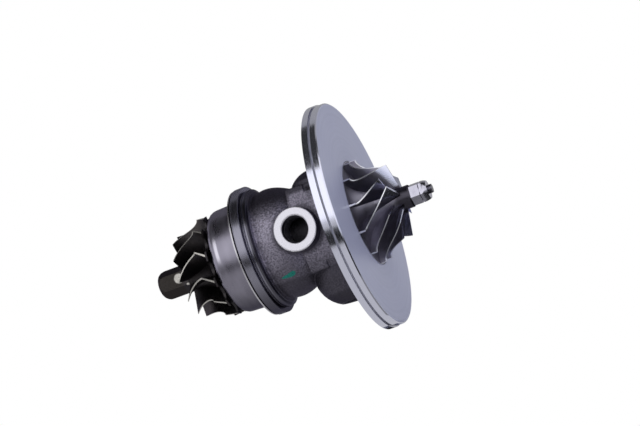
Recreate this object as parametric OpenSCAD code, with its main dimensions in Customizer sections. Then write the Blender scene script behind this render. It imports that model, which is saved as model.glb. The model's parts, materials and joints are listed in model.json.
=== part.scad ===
// Turbo cartridge: the rotor, its bearings and the housing that carries them.
// X is the shaft, compressor end at +X. +Z is up, oil inlet on top, drain below.
// The origin is on the shaft axis in the joint face of housing and back plate.

/* [Back plate] */
// Diameter of the rear land, which pilots the compressor cover
plate_d = 132; // [124:1:146]
// Thickness of the plate
plate_t = 8.4; // [7.6:0.1:12]
// Width of the rear land
rear_land_w = 3.6; // [2.5:0.1:4]
// How much smaller the front land is in diameter
front_land_step = 1.2; // [0.4:0.1:2]
// Width of the groove between the lands
rim_groove_w = 1.1; // [0.8:0.1:2.4]
// Depth of the groove between the lands
rim_groove_depth = 1.4; // [0.8:0.1:3]
// Chamfer on the front edge
rim_chamfer = 0.6; // [0.2:0.1:1]
// Inner diameter of the clamp land on the rear face
clamp_land_d = 100; // [96:1:110]
// Width of the relief groove inside the clamp land
relief_w = 2; // [1:0.1:3]
// Depth of the relief groove
relief_depth = 0.6; // [0.3:0.1:1]

/* [Turbine flange] */
// Length from the joint face to the flange's front face
housing_len = 57.7; // [56:0.1:70]
// Diameter of the flange's pilot band
flange_d = 75.2; // [74.8:0.1:84]
// Width of the pilot band
band_w = 4.8; // [3:0.1:5]
// Width of the groove behind the band
band_groove_w = 1; // [0.8:0.1:2]
// Depth of the groove behind the band
band_groove_depth = 3.6; // [3.1:0.1:4.5]
// Width of the ring behind the groove
clamp_ring_w = 2.4; // [2:0.1:3]
// How much smaller the ring is in diameter than the band
clamp_ring_step = 5.4; // [3:0.1:6]
// Length of the clamp slope behind the ring
clamp_slope_len = 1.5; // [1:0.1:2]
// Height of the seat that the heat shield rests on
shield_seat_h = 1; // [0.6:0.1:2]
// Diameter of that seat
shield_seat_d = 66; // [64:0.5:70]

/* [Housing body] */
// Diameter of the neck behind the turbine flange
neck_d = 61.6; // [58:0.1:64]
// Diameter of the barrel at its fullest
barrel_d = 64; // [62:0.1:68]
// Diameter of the waist beside the back plate
waist_d = 51; // [48:0.5:56]
// Distance from the joint face to the barrel's fullest point
barrel_x = 42; // [40:0.5:44]
// Distance from the joint face to the end of the barrel's slope
waist_x = 25; // [22:0.5:28]
// Distance from the joint face to the end of the squared block round the waist
block_x = 26.5; // [25.5:0.1:30]
// Half width of the squared block
block_half_w = 26; // [25.8:0.1:28]
// Half height of the squared block
block_half_h = 24.5; // [23:0.5:26]
// Half width of the squared block's top flat
block_flat = 20; // [17:0.5:22]
// Half height of the squared block's side flat
block_side = 5; // [3:0.5:8]
// Width of the joint flange outside the circle of screws
joint_flange_edge = 7; // [6:0.5:10]
// Thickness of the joint flange
joint_flange_t = 4; // [3.5:0.1:5]
// Outer diameter of the nose that holds the turbine seal
nose_d = 34; // [30:0.5:40]
// Length of that nose from the flange face
nose_len = 13.3; // [10:0.1:15]

/* [Ports] */
// Distance from the joint face to the coolant ports' axis
coolant_x = 23.9; // [22:0.1:26]
// Distance from the shaft axis to the coolant port faces
coolant_face = 34; // [33:0.5:38]
// Diameter of the coolant port bosses
coolant_boss_d = 24.6; // [22:0.1:26]
// Drilled diameter of the coolant ports (M16 x 1.5)
coolant_hole_d = 14.5; // [12:0.1:16]
// Diameter of the ports' mouth chamfer
coolant_mouth_d = 16; // [16:0.1:18]
// Distance from the joint face to the oil inlet's axis
oil_inlet_x = 12; // [11:0.5:14]
// Height of the oil inlet face above the shaft axis
oil_inlet_face = 33; // [31:0.5:36]
// Drilled diameter of the oil inlet (M10 x 1)
oil_inlet_hole_d = 9; // [8:0.1:10]
// Depth of the oil inlet's drilled hole
oil_inlet_depth = 10; // [8:0.5:10]
// Diameter of the oil inlet's mouth chamfer
oil_inlet_mouth_d = 10; // [10:0.1:11]
// Diameter of the oil gallery above the bearings
oil_gallery_d = 4; // [3:0.1:5]
// Height of the oil gallery above the shaft axis
oil_gallery_h = 13; // [12.5:0.1:14]
// Diameter of the drillings from the gallery to the bushes
oil_drilling_d = 3; // [2:0.1:4]
// Diameter of the oil inlet's flat face
oil_inlet_flat_d = 14; // [13:0.5:16]
// Diameter of the oil inlet boss at its root
oil_inlet_boss_d = 30; // [27:0.5:32]
// Height of that root above the shaft axis
oil_inlet_root = 27.5; // [26:0.5:29]
// Radius of the oil inlet boss's dome
oil_inlet_dome_r = 16; // [12:0.5:30]
// Distance from the joint face to the oil drain's axis
drain_x = 12; // [11.8:0.1:14]
// Depth of the drain face below the shaft axis
drain_face = 44.4; // [42:0.1:50]
// Drilled diameter of the oil drain (M16 x 1.5)
drain_hole_d = 14.5; // [12:0.1:15]
// Diameter of the drain's mouth chamfer
drain_mouth_d = 16; // [15.5:0.1:16.5]
// Diameter of the drain's flat face
drain_flat_d = 17; // [16.6:0.1:20]
// Diameter of the drain boss at its root
drain_boss_d = 37.4; // [35:0.1:37.6]
// Depth of that root below the shaft axis
drain_root = 31.5; // [29:0.5:33]
// Radius of the drain boss's dome
drain_dome_r = 19; // [16:0.5:40]

/* [Cored passages] */
// Inner diameter of the coolant jacket
jacket_inner_d = 35; // [34:0.5:37]
// Outer diameter of the coolant jacket
jacket_outer_d = 44; // [42:0.5:46]
// Distance from the joint face to the jacket's near end
jacket_front = 16; // [16:0.1:17]
// Distance from the joint face to the jacket's far end
jacket_rear = 45; // [40:0.5:46]
// Depth of the jacket's ends below the shaft axis
jacket_floor = 9; // [8:0.5:10]
// Width of the oil sump
sump_w = 16; // [12:0.5:18]
// Depth of the sump's roof below the shaft axis
sump_roof = 13; // [12.5:0.1:15]
// Depth of the sump's floor below the shaft axis
sump_floor = 22; // [20:0.5:23]
// Wall between the sump and the thrust cavity
sump_wall = 0.6; // [0.5:0.1:2]
// Width of the slots that drop oil from the bearings to the sump
drop_w = 10; // [8:0.5:12]
// Length of the drop slot between the bushes
drop_len = 8; // [6:0.5:10]

/* [Bearings] */
// Diameter of the shaft's journals
journal_d = 11; // [10:0.1:12]
// Diameter of the bearing bore in the housing
bearing_bore_d = 17; // [16:0.1:18]
// Length of one floating bush
bush_len = 10; // [8:0.1:12]
// Distance from the joint face to the middle of the compressor end bush
bush_front_x = 20; // [19.5:0.1:22]
// Distance from the joint face to the middle of the turbine end bush
bush_rear_x = 47; // [45:0.1:48]
// Diameter of a bush's oil holes
bush_hole_d = 2; // [1:0.1:3]
// Thickness of a retaining ring
circlip_t = 1.2; // [0.8:0.1:1.6]
// Radial height of a retaining ring
circlip_h = 2.4; // [1.8:0.1:2.4]
// Depth of a retaining ring's groove
circlip_groove_depth = 1.1; // [0.8:0.1:1.3]
// Gap between the ends of a retaining ring
circlip_gap = 5; // [3:0.5:7]

/* [Thrust and seals] */
// Depth of the cavity for the thrust bearing and seal cover
cavity_depth = 7.45; // [7:0.05:9]
// Diameter of that cavity
cavity_d = 39; // [37:0.5:41]
// Thickness of the thrust bearing
thrust_t = 2.9; // [2.4:0.1:3.2]
// Thickness of each thrust ring
thrust_ring_t = 2.5; // [2:0.1:3]
// Diameter of the thrust rings
thrust_ring_d = 18; // [16:0.5:19]
// Diameter of the spacer between the thrust rings
thrust_spacer_d = 10; // [9:0.1:11]
// Diameter of the thrust bearing's two locating pins
thrust_pin_d = 2.5; // [2:0.1:3]
// Depth of the pins in the housing
thrust_pin_depth = 3; // [2:0.1:4]
// Distance between the two pins
thrust_pin_pitch = 30; // [28:0.5:32]
// Thickness of the oil deflector
deflector_t = 0.8; // [0.6:0.1:1]
// Diameter of the oil flinger's disc
flinger_d = 21; // [19.5:0.5:22]
// Thickness of the oil flinger's disc
flinger_t = 1.5; // [1:0.1:1.5]
// Diameter of the compressor end seal bore
front_seal_d = 16; // [15:0.1:17]
// Diameter of the turbine end seal bore
rear_seal_d = 20; // [18.5:0.1:21]
// Width of a piston ring
piston_ring_w = 1.6; // [1.2:0.1:1.8]
// Radial height of a piston ring
piston_ring_h = 1.6; // [1.2:0.1:1.8]
// Diameter of the seal cover's spigot in the back plate
cover_spigot_d = 30; // [29:0.5:32]
// Length of that spigot
cover_spigot_len = 4.5; // [4.2:0.1:5]
// Section diameter of the seal cover's ring
cover_seal_d = 1.8; // [1.4:0.1:2]
// Section diameter of the joint face's ring
joint_seal_d = 2; // [1.6:0.1:2.4]
// Diameter of the joint face's ring at the middle of its section
joint_seal_pitch_d = 52; // [48:0.5:56]

/* [Back plate screws] */
// Number of screws
screw_count = 4; // [4:4:8]
// Diameter of the circle of screws
screw_pitch_d = 70; // [68:0.5:72]
// Thread diameter of a screw
screw_d = 5; // [4:0.5:6]
// Depth of a screw in the back plate
screw_depth = 5.5; // [4:0.5:6]
// Width of a screw's head across flats
screw_head_af = 8; // [7:0.5:9]
// Height of a screw's head
screw_head_h = 3; // [2.5:0.1:4]
// Diameter of a washer
washer_d = 10; // [9.5:0.1:11]
// Thickness of a washer
washer_t = 0.8; // [0.6:0.1:1.2]
// Depth of the spot faces under the washers
spot_depth = 0.3; // [0.2:0.1:0.8]

/* [Heat shield] */
// Sheet thickness of the heat shield
shield_t = 0.8; // [0.6:0.1:1.2]
// Diameter of the shield's clamped rim
shield_rim_d = 74.2; // [72:0.1:74.8]
// Diameter of the shield at its rim end
shield_root_d = 62; // [58:0.5:63]
// Diameter of the shield at its front
shield_front_d = 61; // [56:0.5:62]
// Length of the shield from rim to front
shield_len = 18.4; // [16:0.1:20]
// Radius of the shield's front edge
shield_edge_r = 4.5; // [2:0.1:6]
// Diameter of the shield's centre hole
shield_hole_d = 24; // [22.5:0.5:28]

/* [Shaft] */
// Diameter of the shaft's stub under the compressor wheel
stub_d = 6.4; // [6:0.1:7]
// Diameter of the shaft's thread
thread_d = 5; // [4:0.1:5.5]
// Length of thread that stands out of the nut
thread_proud = 2.2; // [1:0.1:4]
// Diameter of the shaft between the bearings
shaft_waist_d = 9.6; // [8:0.1:9.8]
// Distance from the housing nose to the weld of turbine wheel and shaft
weld_inset = 1.5; // [0.5:0.1:2]

/* [Compressor wheel] */
// Diameter of the compressor wheel at its outlet
comp_d = 60.8; // [56:0.2:66]
// Diameter of its inlet
comp_inlet_d = 42.4; // [38:0.2:46]
// Gap between the wheel's back and the floor of its recess in the back plate
comp_gap = 0.6; // [0.3:0.1:1]
// Radial room of the wheel in that recess
comp_side_gap = 0.4; // [0.3:0.1:1]
// Length of the wheel's hub
comp_len = 29.8; // [27.5:0.1:33]
// Height of the full blades' inlet edge above the wheel's back
comp_inlet_h = 21.8; // [19.5:0.1:23.5]
// Diameter of the hub at its nose
comp_nose_d = 13; // [11.5:0.1:14]
// Length of the hub's plain nose
comp_nose_len = 5; // [3:0.1:6]
// Thickness of the wheel's rim
comp_rim_t = 1; // [0.8:0.1:2]
// Width of the blades at the outlet
comp_tip_w = 3.7; // [3:0.1:5]
// Number of full blades, with one splitter between each pair
comp_blades = 6; // [5:1:7]
// Share of a full blade's path where a splitter starts
splitter_start = 0.13; // [0.1:0.01:0.3]
// Angle that a blade wraps round the hub
comp_wrap = 44; // [30:1:55]
// Angle of the first full blade's outlet edge
comp_phase = 26; // [0:1:60]
// Thickness of the blades round the hub
comp_blade_t = 1.3; // [1:0.1:1.6]

/* [Compressor nut] */
// Width of the nut across flats
nut_af = 11; // [9:0.1:11.5]
// Height of the nut
nut_h = 9.8; // [8:0.1:12]
// Height of the nut's lower step
nut_step_h = 5.2; // [4:0.1:6]
// Width of the groove above the step
nut_groove_w = 0.5; // [0.3:0.1:1]
// Diameter of the nut's tapered end
nut_end_d = 10.4; // [9.4:0.1:11]
// Angle of the nut's flats about the shaft
nut_turn = -12; // [-30:1:30]

/* [Turbine wheel] */
// Diameter of the turbine wheel at its inlet
turb_d = 59.4; // [54:0.2:62]
// Diameter of its outlet
turb_outlet_d = 48.6; // [44:0.2:52]
// Gap between wheel and heat shield
turb_gap = 1.2; // [0.8:0.1:2]
// Width of the blades at the inlet
turb_tip_w = 7; // [5:0.1:8]
// Length of the wheel from its back to the outlet edges
turb_len = 22.3; // [20:0.1:25]
// Thickness of the wheel's back
turb_rim_t = 1; // [0.8:0.1:1.5]
// Diameter of the hub at the outlet
turb_hub_d = 18; // [16:0.2:20]
// Diameter of the nose across its corners
turb_nose_d = 17; // [15:0.2:17.5]
// Length of the nose
turb_nose_len = 19.6; // [14:0.1:22]
// Number of blades
turb_blades = 12; // [9:1:13]
// Angle of the first blade's root at the inlet
turb_phase = 23; // [0:1:30]
// Angle that a blade leans forward over its inlet edge
turb_inlet_lean = 9; // [0:1:15]
// Angle from a blade's root at the inlet to its tip at the outlet
turb_tip_turn = 16; // [10:1:30]
// Angle from a blade's root at the inlet to its root at the outlet
turb_hub_turn = 18; // [10:1:30]
// Thickness of the blades round the hub
turb_blade_t = 1.4; // [1:0.1:2]
// Diameter of the scallops between the blades
scallop_d = 10; // [7:0.2:11]

/* [Clearances] */
// Radial running clearance of shaft, bushes and seals
run_gap = 0.05; // [0.03:0.01:0.08]
// Radial clearance of pieces that slide together and stay
slide_gap = 0.01; // [0.01:0.01:0.03]
// Axial clearance of a bush between its rings
bush_end_gap = 0.1; // [0.05:0.05:0.2]
// Radial room of a screw in the joint flange
screw_hole_gap = 0.3; // [0.2:0.05:0.4]
// Free room round spinning pieces
spin_gap = 1; // [0.6:0.1:1.2]

/* [Hidden] */
$fn = 96;

// Small overlap that lets cuts pass clean through a face
eps = 0.5;
// Width of a seal's groove for each unit of its section
seal_groove_share = 1.2;
// Gap between the ends of a piston ring
piston_ring_gap = 0.6;
// Room under a piston ring in its groove
piston_ring_room = 0.2;
// Plain length of the screw holes below the screws
tap_runout = 1;
// Length of the tool access behind the screws, and its room round a washer
tool_len = 12;
tool_room = 0.8;
// Plain journal beyond each end of a bush
journal_margin = 2;
// Length of thread below the compressor wheel's nose
thread_runout = 1;
// Depth of the thrust bearing's oil grooves, and their width
pad_groove_depth = 0.4;
pad_groove_w = 2;
// Number of oil grooves on each face of the thrust bearing
pad_grooves = 4;
// Share of a blade's root thickness that is gone at its tip
blade_taper = 0.4;
// Chamfer on the compressor hub's nose
nose_chamfer = 0.8;
// Depth of the groove round the nut
nut_groove_depth = 0.7;
// Radius of the turbine nose's rounded end
turb_nose_round = 5;
// Steps in a wheel's hub outline
hub_steps = 16;
// Steps in a rounded outline
arc_steps = 6;
// How far a blade's root is sunk in its hub
root_sink = 0.6;
// How far a blade stays inside its wheel's outer diameter
edge_relief = 0.05;
// Steps of a blade along its path and over its height
blade_path_steps = 12;
blade_height_steps = 4;
// How quickly a compressor blade unwinds along its path
comp_wrap_power = 2.2;
// How late a turbine blade turns towards the outlet
turb_turn_power = 3.4;

// Turbine flange stations along the shaft
flange_x = -housing_len;
band_end_x = flange_x + band_w;
groove_end_x = band_end_x + band_groove_w;
ring_end_x = groove_end_x + clamp_ring_w;
neck_x = ring_end_x + clamp_slope_len;
shield_seat_x = flange_x - shield_seat_h;
nose_x = flange_x - nose_len;

// Heat shield and turbine wheel stations
shield_front_x = shield_seat_x - shield_len;
turb_back_x = shield_front_x - turb_gap;
turb_outlet_x = turb_back_x - turb_len;
turb_nose_x = turb_outlet_x - turb_nose_len;
weld_x = nose_x + weld_inset;

// Thrust stack stations, from the housing's seat towards the compressor
thrust_seat_x = -cavity_depth;
thrust_gap = run_gap;
shoulder_x = thrust_seat_x - thrust_gap - thrust_ring_t;
thrust_front_x = thrust_seat_x + thrust_t;
spacer_x = thrust_seat_x - thrust_gap;
spacer_end_x = thrust_front_x + thrust_gap;
outer_ring_end_x = spacer_end_x + thrust_ring_t;
deflector_front_x = thrust_front_x + deflector_t;
flinger_disc_end_x = outer_ring_end_x + flinger_t;
cover_recess_x = flinger_disc_end_x + spin_gap / 2;

// Back plate and compressor wheel stations
plate_front_x = plate_t;
comp_back_x = plate_front_x - comp_rim_t;
comp_nose_x = comp_back_x + comp_len;
nut_end_x = comp_nose_x + nut_h;
tip_x = nut_end_x + thread_proud;

// Seal stations
front_ring_x = cover_recess_x + spin_gap;
rear_hub_end_x = flange_x - spin_gap;
rear_ring_x = (weld_x + rear_hub_end_x) / 2;
rear_seal_end_x = rear_hub_end_x + spin_gap / 2;

// Radii used by several pieces
journal_r = journal_d / 2;
bearing_bore_r = bearing_bore_d / 2;
cavity_r = cavity_d / 2;
stub_r = stub_d / 2;
circlip_outer_r = bearing_bore_r + circlip_groove_depth;
bush_positions = [-bush_front_x, -bush_rear_x];
circlip_offset = bush_len / 2 + bush_end_gap;
joint_seal_r = joint_seal_pitch_d / 2;
screw_seat_x = -joint_flange_t + spot_depth;
screw_head_x = screw_seat_x - washer_t;
rear_seal_r = rear_seal_d / 2;
front_seal_r = front_seal_d / 2;
front_land_r = (plate_d - front_land_step) / 2;
joint_flange_r = screw_pitch_d / 2 + joint_flange_edge;
plate_hole_r = front_seal_r + spin_gap;
comp_r = comp_d / 2;
turb_r = turb_d / 2;

// Points of an arc, one more than its steps
function arc(cx, cy, r, from, to) =
  [for (i = [0:arc_steps]) let (a = from + (to - from) * i / arc_steps) [cx + r * cos(a), cy + r * sin(a)]];

// A solid turned about the shaft axis, from points of radius and x
module turned(points) {
  rotate([0, 90, 0])
    rotate_extrude()
      polygon(points);
}

// A turned ring between two stations
module ring(x_from, x_to, r_outer, r_inner) {
  turned([[r_inner, x_from], [r_outer, x_from], [r_outer, x_to], [r_inner, x_to]]);
}

// A plain round bar along the shaft axis
module bar(x_from, x_to, r) {
  translate([x_from, 0, 0])
    rotate([0, 90, 0])
      cylinder(h = x_to - x_from, r = r);
}

// A round section bent into a ring about the shaft axis
module seal_ring(x, r_middle, section_d) {
  translate([x, 0, 0])
    rotate([0, 90, 0])
      rotate_extrude()
        translate([r_middle, 0])
          circle(d = section_d);
}

// Children at each screw position
module at_screws() {
  for (i = [0:screw_count - 1])
    rotate([(i + 0.5) * 360 / screw_count, 0, 0])
      translate([0, screw_pitch_d / 2, 0])
        children();
}

// Children at each bearing pin
module at_thrust_pins() {
  for (side = [-1, 1])
    translate([0, side * thrust_pin_pitch / 2, 0])
      children();
}

// Children at each retaining ring, two beside each bush
module at_circlips() {
  for (x = bush_positions)
    for (start = [x - circlip_offset - circlip_t, x + circlip_offset])
      translate([start, 0, 0])
        children();
}

// Points of an arc of a given radius that bulges from one point to the next
function bulge(from, to, r) =
  let (
    half = (to - from) / 2,
    inward = [-half[1], half[0]] / norm(half),
    centre = from + half + inward * sqrt(r * r - half * half),
    first = from - centre,
    last = to - centre,
    from_angle = atan2(first[1], first[0]),
    to_angle = atan2(last[1], last[0])
  )
  arc(centre[0], centre[1], r, from_angle, to_angle);

// A port boss about +Z with a flat face and a domed flank above its root
module domed_boss(face_z, flat_d, root_z, root_d, dome_r) {
  rotate_extrude()
    polygon(concat(
      [[0, 0], [root_d / 2, 0]],
      bulge([root_d / 2, root_z], [flat_d / 2, face_z], dome_r),
      [[0, face_z]]
    ));
}

// A drilled hole about +Z that ends at a face, with a chamfered mouth
module port_hole(face_z, depth, hole_d, mouth_d) {
  chamfer = (mouth_d - hole_d) / 2;
  translate([0, 0, face_z - depth])
    cylinder(h = depth + eps, d = hole_d);
  rotate_extrude()
    polygon([[0, face_z - chamfer], [hole_d / 2, face_z - chamfer], [mouth_d / 2, face_z], [0, face_z]]);
}

// Swelling side of the barrel, from the neck over its fullest point to the waist
function barrel_side() = concat(
  [for (i = [0:arc_steps - 1]) let (v = i / arc_steps)
    [neck_d / 2 + (barrel_d - neck_d) / 2 * sin(90 * v), neck_x + (-barrel_x - neck_x) * v]],
  [for (i = [0:2 * arc_steps]) let (v = i / (2 * arc_steps))
    [waist_d / 2 + (barrel_d - waist_d) / 2 * cos(90 * v), -barrel_x + (barrel_x - waist_x) * v]]
);

// Turned outside of the housing
module housing_outside() {
  flange_r = flange_d / 2;
  ring_r = flange_r - clamp_ring_step / 2;
  turned(concat([
    [0, nose_x], [nose_d / 2, nose_x], [nose_d / 2, shield_seat_x],
    [shield_seat_d / 2, shield_seat_x], [shield_seat_d / 2, flange_x],
    [flange_r, flange_x], [flange_r, band_end_x],
    [flange_r - band_groove_depth, band_end_x], [flange_r - band_groove_depth, groove_end_x],
    [ring_r, groove_end_x], [ring_r, ring_end_x]
  ],
  barrel_side(),
  [
    [waist_d / 2, -joint_flange_t], [joint_flange_r, -joint_flange_t],
    [joint_flange_r, 0], [0, 0]
  ]));
}

// Squared block round the waist, between the port bosses
module squared_block() {
  translate([-block_x, 0, 0])
    rotate([90, 0, 90])
      linear_extrude(height = block_x - joint_flange_t / 2)
        polygon([
          [block_half_w, block_side], [block_flat, block_half_h],
          [-block_flat, block_half_h], [-block_half_w, block_side],
          [-block_half_w, -block_side], [-block_flat, -block_half_h],
          [block_flat, -block_half_h], [block_half_w, -block_side]
        ]);
}

// Coolant port bosses and the oil bosses, cut off at the joint face
module housing_bosses() {
  for (side = [-1, 1])
    translate([-coolant_x, 0, 0])
      rotate([side * 90, 0, 0])
        cylinder(h = coolant_face, d = coolant_boss_d);
  difference() {
    union() {
      translate([-oil_inlet_x, 0, 0])
        domed_boss(oil_inlet_face, oil_inlet_flat_d, oil_inlet_root, oil_inlet_boss_d, oil_inlet_dome_r);
      translate([-drain_x, 0, 0])
        rotate([180, 0, 0])
          domed_boss(drain_face, drain_flat_d, drain_root, drain_boss_d, drain_dome_r);
    }
    bar(0, drain_boss_d, plate_d);
  }
}

// Bores along the shaft for bearings, thrust stack and seals
module housing_bores() {
  groove_half_w = joint_seal_d * seal_groove_share / 2;
  bar(nose_x - eps, rear_seal_end_x, rear_seal_r);
  bar(rear_hub_end_x, 0, bearing_bore_r);
  bar(shoulder_x - spin_gap, 0, thrust_ring_d / 2 + spin_gap);
  bar(thrust_seat_x, eps, cavity_r);
  at_circlips()
    bar(0, circlip_t, circlip_outer_r + slide_gap);
  at_thrust_pins()
    bar(thrust_seat_x - thrust_pin_depth, 0, thrust_pin_d / 2 + slide_gap);
  ring(-joint_seal_d, eps, joint_seal_r + groove_half_w, joint_seal_r - groove_half_w);
  at_screws() {
    bar(-joint_flange_t - eps, eps, screw_d / 2 + screw_hole_gap);
    bar(-joint_flange_t - tool_len, screw_seat_x, washer_d / 2 + tool_room);
  }
}

// Coolant ports and the saddle shaped jacket between them
module coolant_passages() {
  for (side = [-1, 1])
    translate([-coolant_x, 0, 0])
      rotate([side * 90, 0, 0])
        port_hole(coolant_face, coolant_face - jacket_inner_d / 2, coolant_hole_d, coolant_mouth_d);
  difference() {
    ring(-jacket_rear, -jacket_front, jacket_outer_d / 2, jacket_inner_d / 2);
    translate([-housing_len, -jacket_outer_d, -jacket_outer_d])
      cube([housing_len, 2 * jacket_outer_d, jacket_outer_d - jacket_floor]);
  }
}

// Oil inlet, the gallery above the bearings and its drillings
module oil_feed() {
  translate([-oil_inlet_x, 0, 0])
    port_hole(oil_inlet_face, oil_inlet_depth, oil_inlet_hole_d, oil_inlet_mouth_d);
  translate([-oil_inlet_x, 0, oil_gallery_h])
    cylinder(h = oil_inlet_face - oil_inlet_depth - oil_gallery_h + eps, d = oil_gallery_d);
  translate([0, 0, oil_gallery_h])
    bar(-bush_rear_x - oil_gallery_d / 2, thrust_seat_x + eps, oil_gallery_d / 2);
  for (x = bush_positions)
    translate([x, 0, 0])
      cylinder(h = oil_gallery_h, d = oil_drilling_d);
}

// A slot that drops oil from the shaft's bore into the sump
module drop_slot(x_from, x_to) {
  translate([x_from, -drop_w / 2, -sump_roof - eps])
    cube([x_to - x_from, drop_w, sump_roof]);
}

// Oil sump under the bearings, its drop slots and the drain
module oil_drain() {
  middle_x = -(bush_front_x + bush_rear_x) / 2;
  rear_bush_end_x = -bush_rear_x - circlip_offset - circlip_t;
  translate([rear_seal_end_x, -sump_w / 2, -sump_floor])
    cube([-cavity_depth - sump_wall - rear_seal_end_x, sump_w, sump_floor - sump_roof]);
  drop_slot(rear_seal_end_x, rear_bush_end_x - spin_gap);
  drop_slot(middle_x - drop_len / 2, middle_x + drop_len / 2);
  drop_slot(shoulder_x - spin_gap, thrust_seat_x);
  translate([-drain_x, 0, 0])
    rotate([180, 0, 0])
      port_hole(drain_face, drain_face - sump_floor + eps, drain_hole_d, drain_mouth_d);
}

module bearing_housing() {
  color("dimgray")
    difference() {
      union() {
        housing_outside();
        squared_block();
        housing_bosses();
      }
      housing_bores();
      coolant_passages();
      oil_feed();
      oil_drain();
    }
}

module back_plate() {
  plate_r = plate_d / 2;
  groove_end = rear_land_w + rim_groove_w;
  counterbore_r = cover_spigot_d / 2 + slide_gap;
  recess_r = comp_r + comp_side_gap;
  recess_x = comp_back_x - comp_gap;
  color("lightsteelblue")
    difference() {
      turned([
        [counterbore_r, 0], [plate_r, 0], [plate_r, rear_land_w],
        [front_land_r - rim_groove_depth, rear_land_w], [front_land_r - rim_groove_depth, groove_end],
        [front_land_r, groove_end], [front_land_r, plate_t - rim_chamfer],
        [front_land_r - rim_chamfer, plate_t],
        [recess_r, plate_t], [recess_r, recess_x], [plate_hole_r, recess_x],
        [plate_hole_r, cover_spigot_len], [counterbore_r, cover_spigot_len]
      ]);
      ring(-eps, relief_depth, clamp_land_d / 2, clamp_land_d / 2 - relief_w);
      at_screws()
        bar(-eps, screw_depth + tap_runout, screw_d / 2 + slide_gap);
    }
}

module back_plate_screws() {
  color("silver")
    at_screws() {
      bar(screw_head_x, screw_depth, screw_d / 2);
      translate([screw_head_x - screw_head_h, 0, 0])
        rotate([0, 90, 0])
          cylinder(h = screw_head_h, d = screw_head_af / cos(30), $fn = 6);
    }
}

module back_plate_washers() {
  color("silver")
    at_screws()
      ring(screw_head_x, screw_seat_x, washer_d / 2, screw_d / 2 + slide_gap);
}

module back_plate_o_ring() {
  color("black")
    seal_ring(-joint_seal_d / 2, joint_seal_r, joint_seal_d);
}

module seal_cover() {
  rim_r = cavity_r - slide_gap;
  rim_middle_x = deflector_front_x / 2;
  groove_half_w = cover_seal_d * seal_groove_share / 2;
  recess_r = flinger_d / 2 + spin_gap;
  color("lightgray")
    turned([
      [recess_r, deflector_front_x], [rim_r, deflector_front_x], [rim_r, rim_middle_x - groove_half_w],
      [cavity_r - cover_seal_d, rim_middle_x - groove_half_w],
      [cavity_r - cover_seal_d, rim_middle_x + groove_half_w],
      [rim_r, rim_middle_x + groove_half_w], [rim_r, 0], [cover_spigot_d / 2, 0],
      [cover_spigot_d / 2, cover_spigot_len], [front_seal_r, cover_spigot_len],
      [front_seal_r, cover_recess_x], [recess_r, cover_recess_x]
    ]);
}

module seal_cover_o_ring() {
  color("black")
    seal_ring(deflector_front_x / 2, cavity_r - cover_seal_d / 2, cover_seal_d);
}

module oil_deflector() {
  color("gray")
    ring(thrust_front_x, deflector_front_x, cavity_r - slide_gap, thrust_ring_d / 2 + spin_gap);
}

module thrust_bearing() {
  color("goldenrod")
    difference() {
      ring(thrust_seat_x, thrust_front_x, cavity_r - slide_gap, thrust_spacer_d / 2 + spin_gap);
      at_thrust_pins()
        bar(thrust_seat_x - eps, thrust_front_x + eps, thrust_pin_d / 2 + slide_gap);
      for (i = [0:pad_grooves - 1])
        rotate([(i + 0.5) * 360 / pad_grooves, 0, 0])
          for (x = [thrust_seat_x, thrust_front_x])
            translate([x - pad_groove_depth, 0, -pad_groove_w / 2])
              cube([2 * pad_groove_depth, thrust_ring_d / 2, pad_groove_w]);
    }
}

module thrust_bearing_pins() {
  color("silver")
    at_thrust_pins()
      bar(thrust_seat_x - thrust_pin_depth, thrust_front_x, thrust_pin_d / 2);
}

module bearing_retaining_rings() {
  color("dimgray")
    at_circlips()
      difference() {
        ring(0, circlip_t, circlip_outer_r, circlip_outer_r - circlip_h);
        translate([-eps, -circlip_gap / 2, -2 * circlip_outer_r])
          cube([circlip_t + 2 * eps, circlip_gap, 2 * circlip_outer_r]);
      }
}

// A floating bush with two cross drilled oil holes
module bush(x_middle) {
  difference() {
    ring(x_middle - bush_len / 2, x_middle + bush_len / 2, bearing_bore_r - run_gap, journal_r + run_gap);
    for (turn = [0, 90])
      translate([x_middle, 0, 0])
        rotate([turn, 0, 0])
          cylinder(h = 2 * bearing_bore_d, d = bush_hole_d, center = true);
  }
}

module journal_bearing_compressor() {
  color("goldenrod")
    bush(-bush_front_x);
}

module journal_bearing_turbine() {
  color("goldenrod")
    bush(-bush_rear_x);
}

// One side of the shield's sheet, from the rim's root to the centre hole
function shield_side(inset) =
  let (
    root_r = shield_root_d / 2 - inset,
    edge_r = shield_edge_r - inset,
    edge_centre = [shield_front_d / 2 - shield_edge_r, shield_front_x + shield_edge_r]
  )
  concat(
    [[root_r, shield_seat_x - shield_t]],
    arc(edge_centre[0], edge_centre[1], edge_r, 0, -90),
    [[shield_hole_d / 2, shield_front_x + inset]]
  );

function reversed(points) = [for (i = [len(points) - 1:-1:0]) points[i]];

module heat_shield() {
  inner = reversed(shield_side(shield_t));
  color("darkgray")
    turned(concat(
      [[shield_rim_d / 2, shield_seat_x], [shield_rim_d / 2, shield_seat_x - shield_t]],
      shield_side(0),
      inner,
      [[shield_root_d / 2 - shield_t, shield_seat_x]]
    ));
}

// A split seal ring that its bore holds still
module piston_ring(x, bore_r) {
  difference() {
    ring(x, x + piston_ring_w, bore_r, bore_r - piston_ring_h);
    translate([x - eps, 0, -piston_ring_gap / 2])
      cube([piston_ring_w + 2 * eps, 2 * bore_r, piston_ring_gap]);
  }
}

// Room cut in a spinning piece for a piston ring
module piston_groove(x, bore_r) {
  ring(x - run_gap, x + piston_ring_w + run_gap, bore_r + eps, bore_r - piston_ring_h - piston_ring_room);
}

module turbine_piston_ring() {
  color("dimgray")
    piston_ring(rear_ring_x, rear_seal_r);
}

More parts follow.
